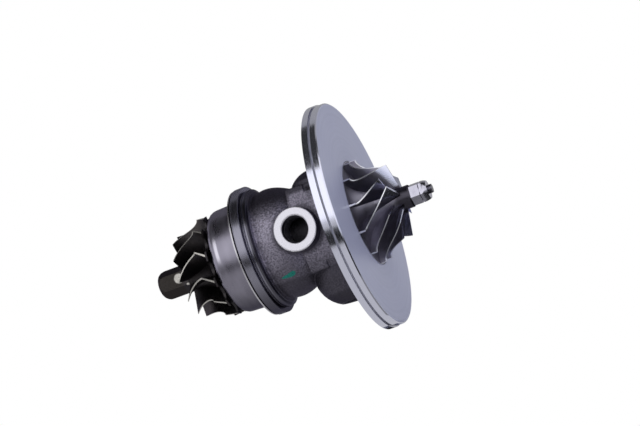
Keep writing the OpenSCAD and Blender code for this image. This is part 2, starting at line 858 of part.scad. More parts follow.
module compressor_piston_ring() {
  color("dimgray")
    piston_ring(front_ring_x, front_seal_r);
}

// Vertex number of a blade's grid, by side, step along the path and step in height
function blade_index(side, i, j) =
  (side * (blade_path_steps + 1) + i) * (blade_height_steps + 1) + j;

function two_triangles(a, b, c, d) = [[a, b, c], [a, c, d]];

// Faces of a closed blade: two sides, root, tip, leading and trailing edge
blade_faces = concat(
  [for (i = [0:blade_path_steps - 1]) for (j = [0:blade_height_steps - 1]) each two_triangles(
    blade_index(1, i, j), blade_index(1, i + 1, j), blade_index(1, i + 1, j + 1), blade_index(1, i, j + 1))],
  [for (i = [0:blade_path_steps - 1]) for (j = [0:blade_height_steps - 1]) each two_triangles(
    blade_index(0, i, j), blade_index(0, i, j + 1), blade_index(0, i + 1, j + 1), blade_index(0, i + 1, j))],
  [for (i = [0:blade_path_steps - 1]) each two_triangles(
    blade_index(1, i + 1, 0), blade_index(1, i, 0), blade_index(0, i, 0), blade_index(0, i + 1, 0))],
  [for (i = [0:blade_path_steps - 1]) let (j = blade_height_steps) each two_triangles(
    blade_index(1, i, j), blade_index(1, i + 1, j), blade_index(0, i + 1, j), blade_index(0, i, j))],
  [for (j = [0:blade_height_steps - 1]) each two_triangles(
    blade_index(1, 0, j), blade_index(1, 0, j + 1), blade_index(0, 0, j + 1), blade_index(0, 0, j))],
  [for (j = [0:blade_height_steps - 1]) let (i = blade_path_steps) each two_triangles(
    blade_index(1, i, j + 1), blade_index(1, i, j), blade_index(0, i, j), blade_index(0, i, j + 1))]
);

// A point of a blade's side: middle line place, angle, thickness and side of it
function blade_point(place, angle, thickness, side) =
  let (turn = angle + (side - 0.5) * thickness / place[0] * 180 / PI)
  [place[1], place[0] * cos(turn), place[0] * sin(turn)];

// Turbine wheel outlines, as radius and x, from the inlet (0) to the outlet (1)
function turb_hub(u) = [
  turb_hub_d / 2 + (turb_r - turb_hub_d / 2) * (1 - sin(90 * u)),
  turb_back_x - turb_rim_t - (turb_len - turb_rim_t) * (1 - cos(90 * u))
];
function turb_root(u) = turb_hub(u) + root_sink * [-sin(90 * u), cos(90 * u)] - [edge_relief, 0];
function turb_tip(u) = [
  turb_outlet_d / 2 + (turb_r - turb_outlet_d / 2) * (1 - sin(90 * u)) - edge_relief,
  turb_back_x - turb_tip_w - (turb_len - turb_tip_w) * (1 - cos(90 * u))
];

// Points of one turbine blade
function turb_blade_points(phase) =
  [for (side = [0, 1]) for (i = [0:blade_path_steps]) for (j = [0:blade_height_steps])
    let (u = i / blade_path_steps, s = j / blade_height_steps)
    let (turn = turb_hub_turn + (turb_tip_turn - turb_hub_turn) * s, late = pow(u, turb_turn_power))
    blade_point(
      turb_root(u) * (1 - s) + turb_tip(u) * s,
      phase - turb_inlet_lean * s * (1 - late) + turn * late,
      turb_blade_t * (1 - blade_taper * s),
      side)];

// Turned body of the turbine wheel with scallops between its blades
module turbine_hub() {
  pitch = 360 / turb_blades;
  seal_hub_r = rear_seal_r - run_gap;
  difference() {
    turned(concat(
      [[0, weld_x], [seal_hub_r, weld_x], [seal_hub_r, turb_back_x], [turb_r, turb_back_x]],
      [for (i = [0:hub_steps]) turb_hub(i / hub_steps)],
      [[0, turb_outlet_x]]
    ));
    for (i = [0:turb_blades - 1])
      rotate([turb_phase + (i + 0.5) * pitch, 0, 0])
        translate([0, turb_r, 0])
          bar(turb_back_x - turb_tip_w, turb_back_x + eps, scallop_d / 2);
  }
}

// Six sided nose with a rounded end
module turbine_nose() {
  nose_r = turb_nose_d / 2;
  intersection() {
    turned(concat(
      [[0, turb_outlet_x + root_sink], [nose_r, turb_outlet_x + root_sink]],
      arc(nose_r - turb_nose_round, turb_nose_x + turb_nose_round, turb_nose_round, 0, -90),
      [[0, turb_nose_x]]
    ));
    translate([turb_nose_x - eps, 0, 0])
      rotate([0, 90, 0])
        cylinder(h = turb_nose_len + turb_len, r = nose_r, $fn = 6);
  }
}

module turbine_wheel() {
  color("saddlebrown")
    union() {
      turbine_hub();
      turbine_nose();
      for (i = [0:turb_blades - 1])
        polyhedron(points = turb_blade_points(turb_phase + i * 360 / turb_blades), faces = blade_faces);
    }
}

module rotor_shaft() {
  seal_hub_r = rear_seal_r - run_gap;
  waist_from = -bush_rear_x + bush_len / 2 + journal_margin;
  waist_to = -bush_front_x - bush_len / 2 - journal_margin;
  thread_x = comp_nose_x - thread_runout;
  color("silver")
    difference() {
      turned([
        [0, weld_x], [seal_hub_r, weld_x], [seal_hub_r, rear_hub_end_x], [journal_r, rear_hub_end_x],
        [journal_r, waist_from], [shaft_waist_d / 2, waist_from + journal_margin],
        [shaft_waist_d / 2, waist_to - journal_margin], [journal_r, waist_to],
        [journal_r, shoulder_x], [stub_r, shoulder_x], [stub_r, thread_x],
        [thread_d / 2, thread_x], [thread_d / 2, tip_x], [0, tip_x]
      ]);
      piston_groove(rear_ring_x, rear_seal_r);
    }
}

module thrust_ring_inner() {
  color("gray")
    ring(shoulder_x, spacer_x, thrust_ring_d / 2, stub_r + slide_gap);
}

module thrust_spacer() {
  color("silver")
    ring(spacer_x, spacer_end_x, thrust_spacer_d / 2, stub_r + slide_gap);
}

module thrust_ring_outer() {
  color("gray")
    ring(spacer_end_x, outer_ring_end_x, thrust_ring_d / 2, stub_r + slide_gap);
}

module oil_flinger() {
  sleeve_r = front_seal_r - run_gap;
  color("silver")
    difference() {
      turned([
        [stub_r + slide_gap, outer_ring_end_x], [flinger_d / 2, outer_ring_end_x],
        [flinger_d / 2, flinger_disc_end_x], [sleeve_r, flinger_disc_end_x],
        [sleeve_r, comp_back_x], [stub_r + slide_gap, comp_back_x]
      ]);
      piston_groove(front_ring_x, front_seal_r);
    }
}

// Compressor wheel outlines, as radius and x, from the inlet (0) to the outlet (1)
function comp_hub(t) =
  let (inlet_x = comp_nose_x - comp_nose_len, outlet_x = comp_back_x + comp_rim_t)
  [
    comp_nose_d / 2 + (comp_r - comp_nose_d / 2) * (1 - cos(90 * t)),
    inlet_x - (inlet_x - outlet_x) * sin(90 * t)
  ];
function comp_root(t) = comp_hub(t) - root_sink * [cos(90 * t), sin(90 * t)] - [edge_relief, 0];
function comp_tip(t) =
  let (inlet_x = comp_back_x + comp_inlet_h, outlet_x = comp_back_x + comp_rim_t + comp_tip_w)
  [
    comp_inlet_d / 2 + (comp_r - comp_inlet_d / 2) * (1 - cos(90 * t)) - edge_relief,
    inlet_x - (inlet_x - outlet_x) * sin(90 * t)
  ];

// Points of one compressor blade that starts at a share of the path
function comp_blade_points(phase, start) =
  [for (side = [0, 1]) for (i = [0:blade_path_steps]) for (j = [0:blade_height_steps])
    let (t = start + (1 - start) * i / blade_path_steps, s = j / blade_height_steps)
    blade_point(
      comp_root(t) * (1 - s) + comp_tip(t) * s,
      phase - comp_wrap * pow(1 - t, comp_wrap_power),
      comp_blade_t * (1 - blade_taper * s),
      side)];

module compressor_wheel() {
  nose_r = comp_nose_d / 2;
  bore_r = stub_r + slide_gap;
  pitch = 360 / comp_blades;
  color("slategray")
    union() {
      turned(concat(
        [[bore_r, comp_back_x], [comp_r, comp_back_x]],
        [for (i = [hub_steps:-1:0]) comp_hub(i / hub_steps)],
        [[nose_r, comp_nose_x - nose_chamfer], [nose_r - nose_chamfer, comp_nose_x], [bore_r, comp_nose_x]]
      ));
      for (i = [0:comp_blades - 1]) {
        polyhedron(points = comp_blade_points(comp_phase + i * pitch, 0), faces = blade_faces);
        polyhedron(
          points = comp_blade_points(comp_phase + (i + 0.5) * pitch, splitter_start),
          faces = blade_faces
        );
      }
    }
}

module compressor_nut() {
  corner_r = nut_af / 2 / cos(30);
  bore_r = thread_d / 2 + slide_gap;
  groove_x = comp_nose_x + nut_step_h;
  taper_x = groove_x + nut_groove_w / 2;
  color("gainsboro")
    difference() {
      intersection() {
        translate([comp_nose_x, 0, 0])
          rotate([nut_turn, 0, 0])
            rotate([0, 90, 0])
              cylinder(h = nut_h, r = corner_r, $fn = 6);
        turned([
          [0, comp_nose_x - eps], [corner_r + eps, comp_nose_x - eps], [corner_r + eps, taper_x],
          [nut_end_d / 2, nut_end_x], [nut_end_d / 2, nut_end_x + eps], [0, nut_end_x + eps]
        ]);
      }
      bar(comp_nose_x - eps, nut_end_x + eps, bore_r);
      ring(groove_x, groove_x + nut_groove_w, corner_r + eps, nut_af / 2 - nut_groove_depth);
    }
}

bearing_housing();
back_plate();
back_plate_screws();
back_plate_washers();
back_plate_o_ring();
seal_cover();
seal_cover_o_ring();
oil_deflector();
thrust_bearing();
thrust_bearing_pins();
bearing_retaining_rings();
journal_bearing_compressor();
journal_bearing_turbine();
heat_shield();
turbine_piston_ring();
compressor_piston_ring();
turbine_wheel();
rotor_shaft();
thrust_ring_inner();
thrust_spacer();
thrust_ring_outer();
oil_flinger();
compressor_wheel();
compressor_nut();
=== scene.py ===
"""Looks of a turbo cartridge: finishes, threads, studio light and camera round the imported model."""

import json
import math

import bmesh
import bpy
from mathutils import Matrix, Vector


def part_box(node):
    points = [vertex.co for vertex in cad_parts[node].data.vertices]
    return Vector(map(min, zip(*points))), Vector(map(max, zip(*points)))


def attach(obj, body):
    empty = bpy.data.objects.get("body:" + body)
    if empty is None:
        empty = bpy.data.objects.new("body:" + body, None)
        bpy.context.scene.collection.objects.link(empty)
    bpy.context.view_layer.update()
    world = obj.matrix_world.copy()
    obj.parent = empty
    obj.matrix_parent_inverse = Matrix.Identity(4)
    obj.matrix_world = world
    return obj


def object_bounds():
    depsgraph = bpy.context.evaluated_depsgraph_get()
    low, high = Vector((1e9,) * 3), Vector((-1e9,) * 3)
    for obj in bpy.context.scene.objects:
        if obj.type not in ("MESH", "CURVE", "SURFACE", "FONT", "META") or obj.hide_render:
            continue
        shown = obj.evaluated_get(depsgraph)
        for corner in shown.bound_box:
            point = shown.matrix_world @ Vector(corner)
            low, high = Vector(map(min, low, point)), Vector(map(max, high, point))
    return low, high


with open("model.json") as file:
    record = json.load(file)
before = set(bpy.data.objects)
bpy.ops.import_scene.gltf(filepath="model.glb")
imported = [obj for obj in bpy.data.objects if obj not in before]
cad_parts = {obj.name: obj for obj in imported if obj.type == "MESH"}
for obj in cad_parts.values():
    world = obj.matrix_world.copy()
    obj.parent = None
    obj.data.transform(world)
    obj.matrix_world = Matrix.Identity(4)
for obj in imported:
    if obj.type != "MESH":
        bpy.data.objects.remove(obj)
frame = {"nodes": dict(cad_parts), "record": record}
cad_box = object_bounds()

MM = 0.001

# Camera: image width and focal length in pixels, angles in degrees, distances in metres
IMAGE_W = 640
FOCAL_PX = 2000
SENSOR_W = 36
VIEW_AZIMUTH = 15.05
VIEW_ELEVATION = -8.37
VIEW_ROLL = -18.15
VIEW_DISTANCE = 1.119
VIEW_RIGHT = -0.0253
VIEW_UP = -0.0002

# Back plate, in metres: X lies along the shaft, R is the distance from its axis
PLATE_FRONT_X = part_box("back_plate")[1].x
RIM_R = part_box("back_plate")[1].y
RIM_LAND_DROP = 1.2 * MM
RIM_GROOVE_X = (3.6 * MM, 4.7 * MM)
RIM_GROOVE_DROP = 2.2 * MM

# Heat shield, with a painted highlight, a light band where its rounded front edge meets its side
SHIELD_FRONT_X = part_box("heat_shield")[0].x
SHIELD_BACK_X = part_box("heat_shield")[1].x
SHIELD_RIM_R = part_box("heat_shield")[1].y
SHIELD_EDGE_DROP = 0.3 * MM
SHIELD_HIGHLIGHT_X = (SHIELD_FRONT_X + 4.4 * MM, SHIELD_FRONT_X + 5.4 * MM)
SHIELD_HIGHLIGHT_Z = (1 * MM, 8 * MM)

# Housing: the turbine's flange, the flange under the back plate, and the faces and holes of the ports
MOUNTS = {mount["name"]: mount for mount in frame["record"]["mounts"]}
FLANGE_X = SHIELD_BACK_X + 1 * MM
FLANGE_NECK_X = FLANGE_X + 9.7 * MM
FLANGE_MIN_R = 33 * MM
JOINT_FLANGE_X = -4 * MM
PORT_X = MOUNTS["coolant_port_left"]["pos_m"][0]
PORT_FACE_Y = 34 * MM
PORT_FACE_SPAN = (-40 * MM, -8 * MM)
PORT_BORE_R = 7.6 * MM
INLET_X = MOUNTS["oil_inlet"]["pos_m"][0]
INLET_FACE_Z = 33 * MM
INLET_FACE_SPAN = (-20 * MM, -4.5 * MM)
DRAIN_X = MOUNTS["oil_drain"]["pos_m"][0]
DRAIN_FACE_Z = -44.4 * MM
PORT_MOUTHS = {
    "coolant_port_left": (PORT_X, -PORT_FACE_Y, 0),
    "coolant_port_right": (PORT_X, PORT_FACE_Y, 0),
    "oil_inlet": (INLET_X, 0, INLET_FACE_Z),
    "oil_drain": (DRAIN_X, 0, DRAIN_FACE_Z),
}

# Painted shade, in coats: two heights, or distances from the port's axis, and the share of the coat at each
# and beyond
# Painted shade on the casting's skin, towards its underside and on its top
SHADE_COATS = (
    (-25 * MM, -4 * MM, 0.7, 0.0),
    (-25 * MM, -19 * MM, 0.86, 0.0),
    (-40 * MM, -30 * MM, 0.95, 0.0),
    (12 * MM, 24 * MM, 0.0, 0.88),
)
# Painted shade on the casting round the coolant ports
PORT_SHADE = (13 * MM, 16.5 * MM, 0.7, 0.0)
# Painted shade on the turned flange bands, towards the bottom
FLANGE_LOW_SHADE = (-34 * MM, -17 * MM, 0.8, 0.0)
# Painted shade on the heat shield, towards the bottom
SHIELD_LOW_SHADE = (-31 * MM, -17 * MM, 0.8, 0.0)
# Painted shade in the crease by the flange's neck: its width and its share
NECK_SHADE_W = 2.4 * MM
NECK_SHADE_SHARE = 0.8

# A flat on the casting above the port, which the painted shade leaves free, so that it shows lighter as a
# painted highlight
LIT_FLAT_X = (-24 * MM, -16 * MM)
LIT_FLAT_Z = (15 * MM, 20 * MM)
LIT_FLAT_SOFT = 2 * MM

# Green dab: place along the barrel, angle up from the -Y side in degrees, and half of its length and turn
DAB_X = -38.6 * MM
DAB_ANGLE = -43.0
DAB_HALF_LEN = 4.8 * MM
DAB_HALF_TURN = 4.6

# Tips of the blades: they lie on a quarter ellipse from the wheel's narrow end, its eye, to its rim
COMP_EYE_R = 21.2 * MM
COMP_EYE_X = 29.2 * MM
COMP_RIM_R = 30.4 * MM
COMP_RIM_X = 12.1 * MM
TURB_EYE_R = 24.3 * MM
TURB_EYE_X = -100.6 * MM
TURB_RIM_R = 29.7 * MM
TURB_RIM_X = -85.3 * MM
TIP_DROP = 0.2 * MM

# Compressor wheel: its dark nose, and the part of each blade's front that is made smoother by polishing and
# painted lighter as a painted highlight, with its least radius at the eye, how fast that radius grows
# behind the eye, and the roughness that polishing takes away
COMP_NOSE_X = COMP_EYE_X + 1 * MM
COMP_NOSE_R = 7 * MM
POLISH_HIGHLIGHT_R = 10 * MM
POLISH_HIGHLIGHT_SLOPE = 2.3
POLISH_GAIN = 0.14

# Turbine wheel: where the blades' outer edges end at its back disc, its nose, and the hub's balance cuts,
# each with its place along the shaft, its angle up from the -Y side in degrees, and its radius
TURB_DISC_X = -79.5 * MM
TURB_NOSE_X = TURB_EYE_X - 5 * MM
TURB_HUB_R = 8.6 * MM
BALANCE_CUTS = ((-106 * MM, 4.0, 3.4 * MM), (-101.6 * MM, -31.0, 1.0 * MM))

# Nut and threads: shares are of the pitch, and a ridge is sunk a little in its wall
NUT_END_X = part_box("compressor_nut")[1].x
SHAFT_TIP_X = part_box("rotor_shaft")[1].x
SHAFT_THREAD_R = 2.5 * MM
SHAFT_CREST_H = 0.12 * MM
SHAFT_PITCH = 0.8 * MM
SHAFT_START_SHARE = 0.5
SHAFT_ROOM_SHARE = 1.2
PORT_PITCH = 1.5 * MM
PORT_FINE_PITCH = 1 * MM
PORT_SMALL_R = 5 * MM
PORT_THREAD_MAX = 13 * MM
PORT_CREST_SHARE = 0.3
PORT_MOUTH_SHARE = 1.5
PORT_ROOM_SHARE = 2
RIDGE_HALF_SHARE = 0.45
WALL_SINK = 0.05 * MM
THREAD_STEPS = 32

# Smooth shading: vertices this close are one, and edges sharper than this angle in degrees stay sharp
WELD_REACH = 0.001 * MM
SHARP_ANGLE = 30

# Widths over which the edge of a mask fades
FINE = 0.1 * MM
SOFT = 0.2 * MM

# Parts of a noise's range that are spread to full contrast
WIDE = (0.2, 0.8)
MIDDLE = (0.25, 0.75)
NARROW = (0.3, 0.7)
SAND_RANGE = (0.3, 0.75)
PATCH_RANGE = (0.35, 0.7)

# Tint of oxidised metal seen along its surface
DULL_EDGE = (0.45, 0.44, 0.5, 1)

# Plain metals: dark and light tone, lowest and highest roughness, width of the turning lines, and for one
# of them the place along the shaft from which it is darker
PLAIN_METALS = {
    "zinc_steel": ((0.52, 0.51, 0.61), (0.63, 0.62, 0.73), (0.16, 0.26), 0.3 * MM),
    "cover_aluminium": ((0.6, 0.6, 0.62), (0.7, 0.7, 0.72), (0.25, 0.4), 0.3 * MM),
    "bearing_bronze": ((0.5, 0.33, 0.14), (0.6, 0.42, 0.2), (0.2, 0.35), 0.3 * MM),
    "ground_steel": ((0.4, 0.4, 0.41), (0.55, 0.55, 0.56), (0.18, 0.3), 0.2 * MM, NUT_END_X),
    "spring_steel": ((0.08, 0.08, 0.09), (0.15, 0.15, 0.16), (0.3, 0.45), 0.3 * MM),
}

# Stage, in metres and watts
GROUND_Z = cad_box[0].z
FLOOR_REACH = 4.0
LAMP_PLACE = (-0.35, -1.2, 0.45)
LAMP_SIZE = (0.9, 1.3)
LAMP_POWER = 0.5
WORLD_FILL = (0.9, 0.93, 1.0, 1)
WORLD_FILL_STRENGTH = 0.8

# Studio above and behind the part: points (Y, Z) of its section, and the grey of the card on each stretch
STUDIO_LEFT = -1.6
STUDIO_RIGHT = 1.2
STUDIO_SECTION = ((-0.85, 1.0), (0.27, 1.0), (1.6, 0.45), (1.6, GROUND_Z))
STUDIO_CARDS = (("ceiling_card", 0.035), ("back_card", 0.33), ("wall_card", 0.5))

# Cards on the table, each a little above the one before: left end, far and near end, and grey
TABLE_RIGHT = 0.3
TABLE_CARD_GAP = 1 * MM
TABLE_CARDS = (
    ("table_card", STUDIO_LEFT, (0.4, -1.4), 0.52),
    ("table_line", STUDIO_LEFT, (-0.145, -0.34), 0.0),
    ("table_dim", 0.01, (0.4, -1.4), 0.22),
    ("table_shade", 0.045, (0.4, -0.12), 0.01),
)


class Finish:
    """A node material: its shader, and short calls that add the nodes before it."""

    def __init__(self, name, **sockets):
        self.material = bpy.data.materials.new(name)
        self.material.use_nodes = True
        self.tree = self.material.node_tree
        self.shader = self.tree.nodes["Principled BSDF"]
        self.set(**sockets)
        self.place = self.node("ShaderNodeTexCoord", {}, "Object")
        split = self.tree.nodes.new("ShaderNodeSeparateXYZ")
        self.tree.links.new(self.place, split.inputs[0])
        self.x, self.y, self.z = split.outputs
        self.r = self.length(Y=self.y, Z=self.z)

    def set(self, **values):
        """Sets or links sockets of the shader; an underscore in a name stands for a space."""
        for socket, value in values.items():
            self.feed(self.shader.inputs[socket.replace("_", " ")], value)

    def feed(self, socket, value):
        if isinstance(value, bpy.types.NodeSocket):
            self.tree.links.new(value, socket)
        else:
            socket.default_value = value

    def node(self, kind, inputs, output=0, **settings):
        """A new node with its inputs set or linked, as the output asked for."""
        made = self.tree.nodes.new(kind)
        for key, value in settings.items():
            setattr(made, key, value)
        for key, value in inputs.items():
            self.feed(made.inputs[key], value)
        return made.outputs[output]

    def math(self, operation, a, b=0.0):
        return self.node("ShaderNodeMath", {0: a, 1: b}, operation=operation)

    def length(self, **axes):
        """Length of a vector from the axes given; the others are 0."""
        vector = self.node("ShaderNodeCombineXYZ", axes)
        return self.node("ShaderNodeVectorMath", {0: vector}, "Value", operation="LENGTH")

    def scale(self, value, low, high):
        """Straight scale of a value: 0 at low, 1 at high, not limited."""
        shifted = self.math("SUBTRACT", value, low)
        return self.math("DIVIDE", shifted, high - low)

    def step(self, value, low, high, to_low=0.0, to_high=1.0):
        """Smooth change from one value to another between two places."""
        ends = {"From Min": low, "From Max": high, "To Min": to_low, "To Max": to_high}
        return self.node("ShaderNodeMapRange", {"Value": value, **ends}, interpolation_type="SMOOTHSTEP")

    def beyond(self, value, edge, soft):
        """Mask that is 1 from an edge on and fades to 0 before it."""
        return self.step(value, edge - soft, edge)

    def before(self, value, edge, soft):
        """Mask that is 1 up to an edge and fades to 0 past it."""
        return self.step(value, edge, edge + soft, 1.0, 0.0)

    def window(self, value, low, high, soft):
        """Mask that is 1 between two places and fades to 0 outside them."""
        return self.both(self.beyond(value, low, soft), self.before(value, high, soft))

    def both(self, a, b):
        return self.math("MULTIPLY", a, b)

    def either(self, *masks):
        whole = masks[0]
        for mask in masks[1:]:
            whole = self.math("MAXIMUM", whole, mask)
        return whole

    def outside(self, mask):
        return self.math("SUBTRACT", 1.0, mask)

    def noise(self, size, detail, stretch=(1, 1, 1)):
        """Noise whose grains have a size in metres, drawn out along axes by stretch."""
        scale = tuple(1 / (size * s) for s in stretch)
        grid = self.node("ShaderNodeVectorMath", {0: self.place, 1: scale}, operation="MULTIPLY")
        return self.node("ShaderNodeTexNoise", {"Vector": grid, "Scale": 1.0, "Detail": detail})

    def turning_marks(self, size):
        """Fine lines left by a lathe: rings on a face, and rings along a rim."""
        along = self.math("ADD", self.r, self.x)
        inputs = {"W": self.math("DIVIDE", along, size), "Scale": 1.0, "Detail": 2.0}
        return self.node("ShaderNodeTexNoise", inputs, noise_dimensions="1D")

    def mix(self, factor, a, b):
        """Blend of two values or tones, by a factor: the first at 0, the second at 1."""
        made = self.tree.nodes.new("ShaderNodeMix")
        made.data_type = "RGBA"
        self.feed(made.inputs[0], factor)
        for socket, side in ((made.inputs[6], a), (made.inputs[7], b)):
            self.feed(socket, (*side, 1) if isinstance(side, tuple) else side)
        return made.outputs[2]

    def bump(self, height, depth, **base):
        inputs = {"Height": height, "Distance": depth, "Strength": 1.0, **base}
        return self.node("ShaderNodeBump", inputs, "Normal")

    def round_edges(self, radius):
        return self.node("ShaderNodeBevel", {"Radius": radius}, samples=6)

    def round_tangent(self):
        """Direction round the shaft, along which brushed metal draws out its highlights."""
        return self.node("ShaderNodeTangent", {}, direction_type="RADIAL", axis="X")


def ellipse_edge(finish, eye, rim, width):
    """Mask of the blade tips, which lie on a quarter ellipse from the eye to the rim."""
    (eye_r, eye_x), (rim_r, rim_x) = eye, rim
    inward = finish.scale(finish.r, rim_r, eye_r)
    outward = finish.scale(finish.x, eye_x, rim_x)
    distance = finish.length(X=inward, Y=outward)
    off = finish.math("ABSOLUTE", finish.math("SUBTRACT", distance, 1.0))
    return finish.before(off, width, 0.6 * width)


def machined_masks(finish):
    """Masks of the casting's turned flanges, its bright port faces and its downward drain face, which is
    painted dark as shade.
    """
    bands = finish.both(
        finish.window(finish.x, SHIELD_BACK_X, FLANGE_NECK_X - 0.4 * MM, SOFT),
        finish.beyond(finish.r, FLANGE_MIN_R, 0.5 * MM),
    )
    joint = finish.beyond(finish.x, JOINT_FLANGE_X, SOFT)
    coolant_faces = finish.both(
        finish.beyond(finish.math("ABSOLUTE", finish.y), PORT_FACE_Y - FINE, SOFT),
        finish.window(finish.x, *PORT_FACE_SPAN, 1 * MM),
    )
    inlet_face = finish.both(
        finish.beyond(finish.z, INLET_FACE_Z - FINE, FINE),
        finish.window(finish.x, *INLET_FACE_SPAN, 0.3 * MM),
    )
    shaded_drain_face = finish.before(finish.z, DRAIN_FACE_Z + FINE, FINE)
    return finish.either(bands, joint), finish.either(coolant_faces, inlet_face), shaded_drain_face


def cast_skin(finish, sand):
    """Tone of the casting's skin: sandy and cloudy, with painted shade on its top, its underside and round
    the coolant ports, and painted shade in the ports' bores.
    """
    patches = finish.noise(14 * MM, 3.0)
    skin = finish.mix(finish.step(sand, *SAND_RANGE), (0.185, 0.172, 0.22), (0.65, 0.61, 0.76))
    skin = finish.mix(finish.step(patches, *PATCH_RANGE, 0.0, 0.4), skin, (0.19, 0.18, 0.225))
    port_r = finish.length(X=finish.math("SUBTRACT", finish.x, PORT_X), Z=finish.z)
    # Painted shade: the casting darker towards its underside, on its top and round the coolant ports
    coats = [finish.step(finish.z, *coat) for coat in SHADE_COATS]
    skin_shade = finish.either(*coats, finish.step(port_r, *PORT_SHADE))
    # Painted highlight: the flat above the port is kept out of the painted shade
    lit_flat = finish.both(
        finish.window(finish.x, *LIT_FLAT_X, LIT_FLAT_SOFT),
        finish.window(finish.z, *LIT_FLAT_Z, LIT_FLAT_SOFT),
    )
    skin = finish.mix(finish.both(skin_shade, finish.outside(lit_flat)), skin, (0.045, 0.042, 0.055))
    # Painted shade inside the coolant ports' bores
    bore_shade = finish.both(
        finish.before(port_r, PORT_BORE_R, 0.3 * MM),
        finish.before(finish.math("ABSOLUTE", finish.y), PORT_FACE_Y - 0.6 * MM, 0.3 * MM),
    )
    return finish.mix(bore_shade, skin, (0.07, 0.067, 0.08))


def paint_dab(finish):
    """Mask of an inspection dab on the barrel's lower side, thicker towards the compressor."""
    angle = finish.math("ARCTAN2", finish.z, finish.math("MULTIPLY", finish.y, -1.0))
    along = finish.scale(finish.x, DAB_X, DAB_X + DAB_HALF_LEN)
    across = finish.scale(angle, math.radians(DAB_ANGLE), math.radians(DAB_ANGLE + DAB_HALF_TURN))
    taper = finish.step(along, -1.2, 1.0, 2.6, 0.8)
    reach = finish.length(X=along, Y=finish.math("MULTIPLY", across, taper))
    ragged = finish.math("ADD", finish.math("MULTIPLY", reach, reach), finish.noise(2 * MM, 3.0))
    return finish.before(ragged, 1.1, 0.25)


def cast_housing():
    """Sandy dark cast iron with turned flange bands that carry painted shade low down and in the crease by
    their neck, bright port faces and a dab of green paint.
    """
    finish = Finish("cast_housing", Specular_Tint=DULL_EDGE)
    flanges, bright_faces, shaded_drain_face = machined_masks(finish)
    machined = finish.either(flanges, bright_faces, shaded_drain_face)
    dab = paint_dab(finish)
    sand = finish.noise(0.9 * MM, 6.0)
    lathe = finish.turning_marks(0.25 * MM)
    # Painted shade on the flange bands, in the crease by the neck and towards the bottom
    neck = finish.window(finish.x, FLANGE_NECK_X - NECK_SHADE_W, FLANGE_NECK_X, 0.6 * MM)
    neck_shade = finish.math("MULTIPLY", neck, NECK_SHADE_SHARE)
    flange_shade = finish.either(neck_shade, finish.step(finish.z, *FLANGE_LOW_SHADE))
    turned = finish.mix(lathe, (0.25, 0.245, 0.3), (0.34, 0.335, 0.41))
    turned = finish.mix(flange_shade, turned, (0.05, 0.048, 0.06))
    bright = finish.mix(lathe, (0.66, 0.65, 0.72), (0.72, 0.71, 0.78))
    colour = finish.mix(flanges, cast_skin(finish, sand), turned)
    # Painted shade: the downward drain face is painted dark
    colour = finish.mix(shaded_drain_face, colour, (0.08, 0.08, 0.085))
    colour = finish.mix(bright_faces, colour, bright)
    colour = finish.mix(dab, colour, (0.0, 0.22, 0.16))
    cast_rough = finish.step(sand, *WIDE, 0.42, 0.6)
    turned_rough = finish.step(lathe, *WIDE, 0.2, 0.3)
    grain = finish.both(sand, finish.outside(machined))
    finish.set(
        Base_Color=colour,
        Roughness=finish.mix(machined, cast_rough, turned_rough),
        Metallic=finish.step(dab, 0.0, 1.0, 1.0, 0.0),
        Normal=finish.bump(grain, 0.35 * MM, Normal=finish.round_edges(1.2 * MM)),
    )
    return finish.material


def turned_plate():
    """Satin turned face with a smooth polish on its rim."""
    finish = Finish("turned_plate", Anisotropic=0.35, Specular_IOR_Level=0.25)
    lathe = finish.turning_marks(0.3 * MM)
    rings = finish.turning_marks(2 * MM)
    cloud = finish.noise(30 * MM, 3.0)
    rim = finish.beyond(finish.r, RIM_R - RIM_LAND_DROP, SOFT)
    groove = finish.both(
        finish.window(finish.x, *RIM_GROOVE_X, 0.05 * MM),
        finish.beyond(finish.r, RIM_R - RIM_GROOVE_DROP, SOFT),
    )
    face = finish.mix(finish.step(rings, *MIDDLE), (0.425, 0.435, 0.58), (0.45, 0.46, 0.61))
    edge = finish.mix(lathe, (0.76, 0.77, 0.92), (0.84, 0.85, 1.0))
    face_rough = finish.step(cloud, *NARROW, 0.3, 0.36)
    rim_rough = finish.step(lathe, *WIDE, 0.1, 0.2)
    finish.set(
        Base_Color=finish.mix(groove, finish.mix(rim, face, edge), (0.6, 0.6, 0.68)),
        Roughness=finish.mix(rim, face_rough, rim_rough),
        Metallic=finish.step(rim, 0.0, 1.0, 0.15, 1.0),
        Normal=finish.bump(lathe, 0.012 * MM),
        Tangent=finish.round_tangent(),
    )
    return finish.material


